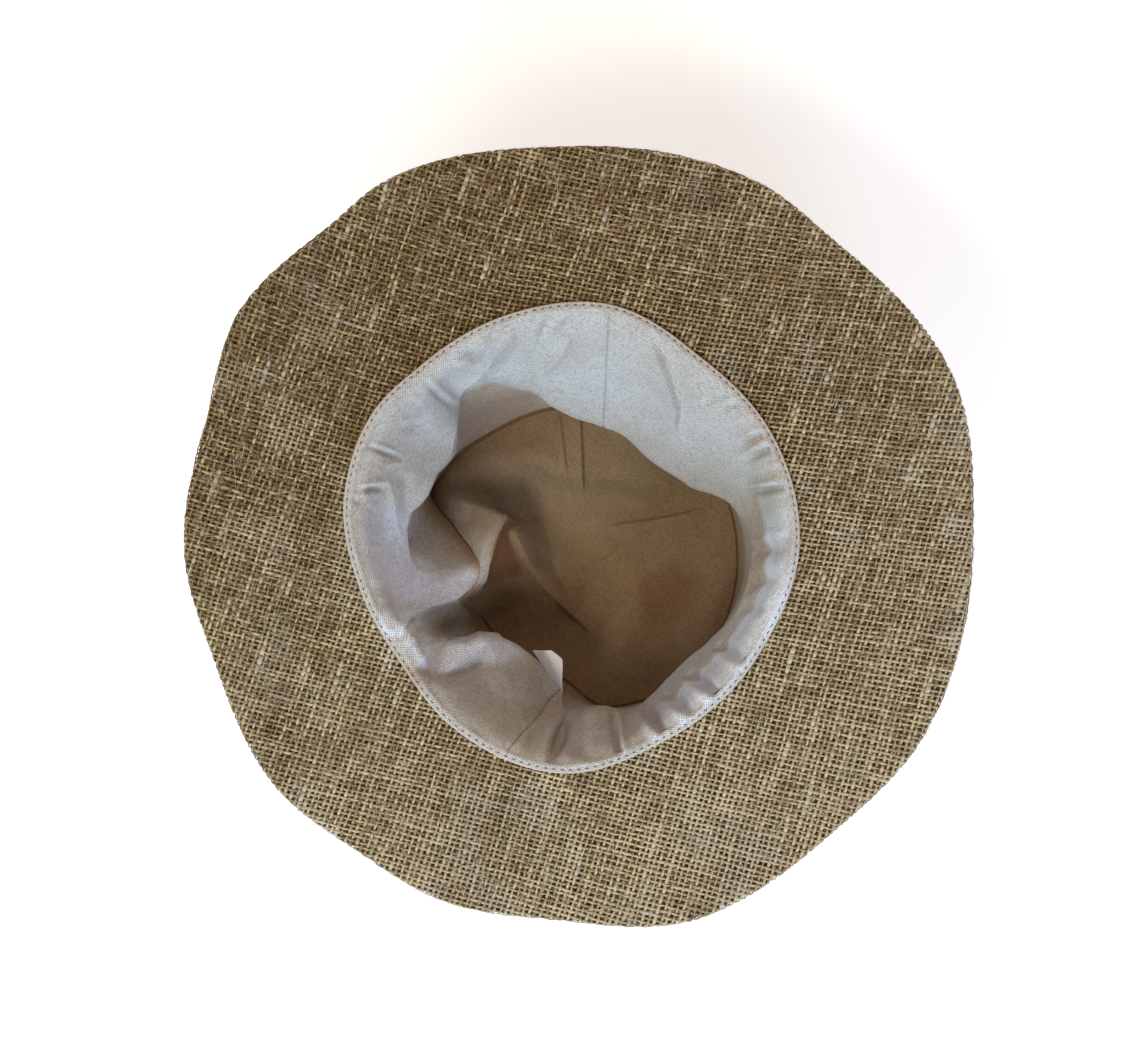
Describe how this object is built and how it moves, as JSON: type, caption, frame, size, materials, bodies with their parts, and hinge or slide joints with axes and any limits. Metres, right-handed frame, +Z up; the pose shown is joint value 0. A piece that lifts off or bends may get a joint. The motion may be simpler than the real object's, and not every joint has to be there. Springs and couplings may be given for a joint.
{
  "type": "sun hat",
  "caption": "Soft wide-brimmed sun hat of jute cloth with a cotton lining, lying upside down on its crown with the head opening up.",
  "frame": {"origin": "middle of the hat's footprint, on the surface that the crown's tip rests on", "axes": "+Z up out of the head opening, +Y away from the seam that holds the label, +X to the right of it"},
  "size_m": [0.313, 0.3098, 0.1032],
  "materials": {
    "jute": "coarse open plain weave of uneven jute threads, matte",
    "lining_cotton": "fine plain-woven unbleached cotton, matte, creased",
    "label_cloth": "smooth white ribbon, blank"
  },
  "bodies": {
    "root": {"brim_under": "jute", "brim_top": "jute", "crown_side": "jute", "crown_tip": "jute", "lining_side_right": "lining_cotton", "lining_side_left": "lining_cotton", "lining_tip": "lining_cotton", "care_label": "label_cloth"}
  },
  "joints": []
}
